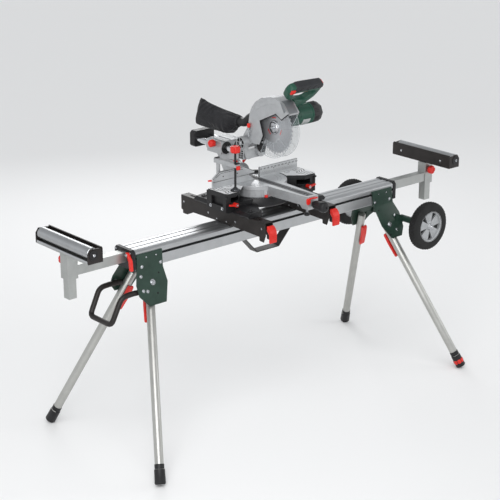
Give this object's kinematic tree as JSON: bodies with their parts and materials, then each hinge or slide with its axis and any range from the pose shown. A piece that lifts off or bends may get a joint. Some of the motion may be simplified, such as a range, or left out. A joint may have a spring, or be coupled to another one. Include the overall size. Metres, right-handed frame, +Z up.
{
  "type": "mitre saw on stand",
  "caption": "Sliding compound mitre saw clamped to the cross arms of a folding wheeled stand with extending roller supports.",
  "frame": {"origin": "on the floor, under the middle of the whole object's box", "axes": "+Z up, +X along the beam towards the wheels, -Y towards the user"},
  "size_m": [2.034, 0.8061, 1.43],
  "materials": {
    "aluminium": "satin extruded",
    "cast": "painted cast, satin",
    "steel": "turned",
    "chrome": "polished",
    "blackpaint": "satin powder coat",
    "blackplastic": "fine grain",
    "greenpaint": "satin powder coat",
    "greenplastic": "satin",
    "red": "semi gloss",
    "tyre": "matt",
    "clear": "clear polycarbonate",
    "cloth": "woven",
    "insert": "matt",
    "baseblack": "black painted casting"
  },
  "bodies": {
    "stand": {"beam": "aluminium", "beam_cap_left": "blackplastic", "beam_cap_right": "blackplastic", "leg_bracket_left": "greenpaint", "leg_bracket_right": "greenpaint", "carry_handle": "blackpaint", "rest_foot": "blackpaint"},
    "saw_carriage": {"cross_arm_left": "blackpaint", "cross_arm_right": "blackpaint", "saw_base": "baseblack", "fence": "aluminium"},
    "arm_lever_left": {"arm_lever_left": "red"},
    "extension_left": {"extension_tube_left": "aluminium"},
    "roller_post_left": {"roller_stand_left": "blackpaint"},
    "roller_left": {"roller_left": "steel"},
    "height_knob_left": {"height_knob_left": "red"},
    "extension_lever_left": {"extension_lever_left": "red"},
    "leg_left_front": {"leg_left_front": "aluminium"},
    "leg_latch_left_front": {"leg_latch_left_front": "red"},
    "leg_left_rear": {"leg_left_rear": "aluminium"},
    "leg_latch_left_rear": {"leg_latch_left_rear": "red"},
    "arm_lever_right": {"arm_lever_right": "red"},
    "extension_right": {"extension_tube_right": "aluminium"},
    "roller_post_right": {"roller_stand_right": "blackpaint"},
    "roller_right": {"roller_right": "steel"},
    "height_knob_right": {"height_knob_right": "red"},
    "extension_lever_right": {"extension_lever_right": "red"},
    "leg_right_front": {"leg_right_front": "aluminium"},
    "leg_latch_right_front": {"leg_latch_right_front": "red"},
    "leg_right_rear": {"leg_right_rear": "aluminium"},
    "leg_latch_right_rear": {"leg_latch_right_rear": "red"},
    "wheel_front": {"wheel_front": "tyre"},
    "wheel_rear": {"wheel_rear": "tyre"},
    "sliding_fence": {"sliding_fence": "aluminium"},
    "side_table_left": {"side_table_left": "cast"},
    "side_table_lever_left": {"side_table_lever_left": "red"},
    "side_table_right": {"side_table_right": "cast"},
    "side_table_lever_right": {"side_table_lever_right": "red"},
    "turntable": {"turntable": "cast", "table_insert": "insert"},
    "mitre_handle": {"mitre_handle": "blackplastic"},
    "mitre_latch": {"mitre_latch": "red"},
    "bevel": {"bevel_arm": "cast"},
    "slide_lock_knob": {"slide_lock_knob": "red"},
    "rails": {"rail_left": "chrome", "rail_right": "chrome", "rail_cap": "blackplastic", "head_bracket": "cast"},
    "head": {"head_casting": "cast", "motor_housing": "greenplastic", "motor_cap": "blackplastic", "handle_frame": "greenplastic", "dust_port": "blackplastic", "dust_bag": "cloth"},
    "blade": {"saw_blade": "steel"},
    "lower_guard": {"lower_guard": "clear"},
    "lock_off_button": {"lock_off_button": "red"},
    "trigger": {"trigger": "red"},
    "clamp": {"clamp_bracket": "cast"},
    "clamp_screw": {"clamp_screw": "red"}
  },
  "joints": [
    {"name": "carriage_along_beam", "type": "slide", "parent": "stand", "child": "saw_carriage", "axis": [1, 0, 0], "range_m": [-0.2, 0.2]},
    {"name": "arm_lever_left_clamp", "type": "hinge", "parent": "saw_carriage", "child": "arm_lever_left", "pos_m": [-0.214, -0.252, 0.8577], "axis": [-1, 0, 0], "range_deg": [0, 60]},
    {"name": "extension_left_slide", "type": "slide", "parent": "stand", "child": "extension_left", "axis": [-1, 0, 0], "range_m": [-0.18, 0.34]},
    {"name": "roller_post_left_lift", "type": "slide", "parent": "extension_left", "child": "roller_post_left", "axis": [0, 0, 1], "range_m": [0, 0.1]},
    {"name": "roller_left_spin", "type": "hinge", "parent": "roller_post_left", "child": "roller_left", "pos_m": [-0.992, 0.008, 0.9147], "axis": [0, 1, 0], "continuous": true},
    {"name": "height_knob_left_turn", "type": "hinge", "parent": "extension_left", "child": "height_knob_left", "pos_m": [-0.985, 0.038, 0.8397], "axis": [0, 1, 0], "range_deg": [0, 360]},
    {"name": "extension_lever_left_turn", "type": "hinge", "parent": "stand", "child": "extension_lever_left", "pos_m": [-0.7334, -0.026, 0.8177], "axis": [-1, 0, 0], "range_deg": [0, 70]},
    {"name": "leg_left_front_fold", "type": "hinge", "parent": "stand", "child": "leg_left_front", "pos_m": [-0.655, -0.05115, 0.6903], "axis": [0, -0.9063, 0.4226], "range_deg": [0, 105.5]},
    {"name": "leg_latch_left_front_release", "type": "hinge", "parent": "leg_left_front", "child": "leg_latch_left_front", "pos_m": [-0.66834, -0.04704, 0.63522], "axis": [0.9637, -0.1128, -0.2419], "range_deg": [0, 10], "stiffness_Nm_per_rad": 0.8, "springref_deg": -11.46},
    {"name": "leg_left_rear_fold", "type": "hinge", "parent": "stand", "child": "leg_left_rear", "pos_m": [-0.655, 0.06715, 0.6903], "axis": [0, -0.9063, -0.4226], "range_deg": [0, 105.5]},
    {"name": "leg_latch_left_rear_release", "type": "hinge", "parent": "leg_left_rear", "child": "leg_latch_left_rear", "pos_m": [-0.66834, 0.06304, 0.63522], "axis": [-0.9637, -0.1128, 0.2419], "range_deg": [0, 10], "stiffness_Nm_per_rad": 0.8, "springref_deg": -11.46},
    {"name": "arm_lever_right_clamp", "type": "hinge", "parent": "saw_carriage", "child": "arm_lever_right", "pos_m": [0.132, -0.252, 0.8577], "axis": [-1, 0, 0], "range_deg": [0, 60]},
    {"name": "extension_right_slide", "type": "slide", "parent": "stand", "child": "extension_right", "axis": [1, 0, 0], "range_m": [-0.18, 0.34]},
    {"name": "roller_post_right_lift", "type": "slide", "parent": "extension_right", "child": "roller_post_right", "axis": [0, 0, 1], "range_m": [0, 0.1]},
    {"name": "roller_right_spin", "type": "hinge", "parent": "roller_post_right", "child": "roller_right", "pos_m": [0.992, 0.008, 0.9147], "axis": [0, 1, 0], "continuous": true},
    {"name": "height_knob_right_turn", "type": "hinge", "parent": "extension_right", "child": "height_knob_right", "pos_m": [0.985, -0.022, 0.8397], "axis": [0, -1, 0], "range_deg": [0, 360]},
    {"name": "extension_lever_right_turn", "type": "hinge", "parent": "stand", "child": "extension_lever_right", "pos_m": [0.7334, 0.042, 0.8177], "axis": [1, 0, 0], "range_deg": [0, 70]},
    {"name": "leg_right_front_fold", "type": "hinge", "parent": "stand", "child": "leg_right_front", "pos_m": [0.655, -0.0689, 0.65223], "axis": [0, 0.9063, -0.4226], "range_deg": [0, 106.3]},
    {"name": "leg_latch_right_front_release", "type": "hinge", "parent": "leg_right_front", "child": "leg_latch_right_front", "pos_m": [0.66906, -0.0647, 0.59734], "axis": [0.9596, 0.1189, 0.2549], "range_deg": [0, 10], "stiffness_Nm_per_rad": 0.8, "springref_deg": -11.46},
    {"name": "leg_right_rear_fold", "type": "hinge", "parent": "stand", "child": "leg_right_rear", "pos_m": [0.655, 0.0849, 0.65223], "axis": [0, 0.9063, 0.4226], "range_deg": [0, 106.3]},
    {"name": "leg_latch_right_rear_release", "type": "hinge", "parent": "leg_right_rear", "child": "leg_latch_right_rear", "pos_m": [0.66906, 0.0807, 0.59734], "axis": [-0.9596, 0.1189, -0.2549], "range_deg": [0, 10], "stiffness_Nm_per_rad": 0.8, "springref_deg": -11.46},
    {"name": "wheel_front_spin", "type": "hinge", "parent": "stand", "child": "wheel_front", "pos_m": [0.749, -0.232, 0.6697], "axis": [0, 1, 0], "continuous": true},
    {"name": "wheel_rear_spin", "type": "hinge", "parent": "stand", "child": "wheel_rear", "pos_m": [0.749, 0.248, 0.6697], "axis": [0, 1, 0], "continuous": true},
    {"name": "sliding_fence_slide", "type": "slide", "parent": "saw_carriage", "child": "sliding_fence", "axis": [-1, 0, 0], "range_m": [0, 0.09]},
    {"name": "side_table_left_slide", "type": "slide", "parent": "saw_carriage", "child": "side_table_left", "axis": [-1, 0, 0], "range_m": [0, 0.13]},
    {"name": "side_table_lever_left_turn", "type": "hinge", "parent": "saw_carriage", "child": "side_table_lever_left", "pos_m": [-0.241, -0.087, 0.9331], "axis": [0, 1, 0], "range_deg": [0, 80]},
    {"name": "side_table_right_slide", "type": "slide", "parent": "saw_carriage", "child": "side_table_right", "axis": [1, 0, 0], "range_m": [0, 0.13]},
    {"name": "side_table_lever_right_turn", "type": "hinge", "parent": "saw_carriage", "child": "side_table_lever_right", "pos_m": [0.159, -0.087, 0.9331], "axis": [0, -1, 0], "range_deg": [0, 80]},
    {"name": "mitre_turn", "type": "hinge", "parent": "saw_carriage", "child": "turntable", "pos_m": [-0.041, 0.008, 0.8951], "axis": [0, 0, -1], "range_deg": [-47, 47]},
    {"name": "mitre_handle_screw", "type": "hinge", "parent": "turntable", "child": "mitre_handle", "pos_m": [-0.041, -0.352, 0.9531], "axis": [0, -1, 0], "range_deg": [0, 90]},
    {"name": "mitre_latch_swing", "type": "hinge", "parent": "turntable", "child": "mitre_latch", "pos_m": [-0.031, -0.335, 0.9801], "axis": [0, 0, 1], "range_deg": [0, 15], "stiffness_Nm_per_rad": 0.2, "springref_deg": -17.19},
    {"name": "bevel_tilt", "type": "hinge", "parent": "turntable", "child": "bevel", "pos_m": [-0.041, 0.148, 0.9851], "axis": [0, -1, 0], "range_deg": [0, 36]},
    {"name": "slide_lock_knob_turn", "type": "hinge", "parent": "bevel", "child": "slide_lock_knob", "pos_m": [-0.116, 0.21, 1.1071], "axis": [-1, 0, 0], "range_deg": [0, 360]},
    {"name": "rail_slide", "type": "slide", "parent": "bevel", "child": "rails", "axis": [0, 1, 0], "range_m": [-0.085, 0.088]},
    {"name": "chop", "type": "hinge", "parent": "rails", "child": "head", "pos_m": [-0.041, 0.048, 1.1381], "axis": [1, 0, 0], "range_deg": [0, 47], "stiffness_Nm_per_rad": 12, "springref_deg": -57.3},
    {"name": "blade_spin", "type": "hinge", "parent": "head", "child": "blade", "pos_m": [-0.041, -0.097, 1.2221], "axis": [1, 0, 0], "continuous": true},
    {"name": "lower_guard_turn", "type": "hinge", "parent": "head", "child": "lower_guard", "pos_m": [-0.041, -0.097, 1.2221], "axis": [1, 0, 0], "range_deg": [-124, 0]},
    {"name": "lock_off_press", "type": "slide", "parent": "head", "child": "lock_off_button", "axis": [0, 0.76, 0.65], "range_m": [0, 0.0015], "stiffness_N_per_m": 600, "springref_m": -0.002},
    {"name": "trigger_pull", "type": "slide", "parent": "head", "child": "trigger", "axis": [0, -0.65, 0.76], "range_m": [0, 0.005], "stiffness_N_per_m": 700, "springref_m": -0.003},
    {"name": "clamp_swing", "type": "hinge", "parent": "saw_carriage", "child": "clamp", "pos_m": [-0.227, 0.038, 1.0351], "axis": [0, 0, -1], "range_deg": [0, 100]},
    {"name": "clamp_screw_travel", "type": "slide", "parent": "clamp", "child": "clamp_screw", "axis": [0, 0, 1], "range_m": [0, 0.05]}
  ],
  "couplings": [
    {"joint": "lower_guard_turn", "follows": "chop", "ratio": -2.6}
  ]
}
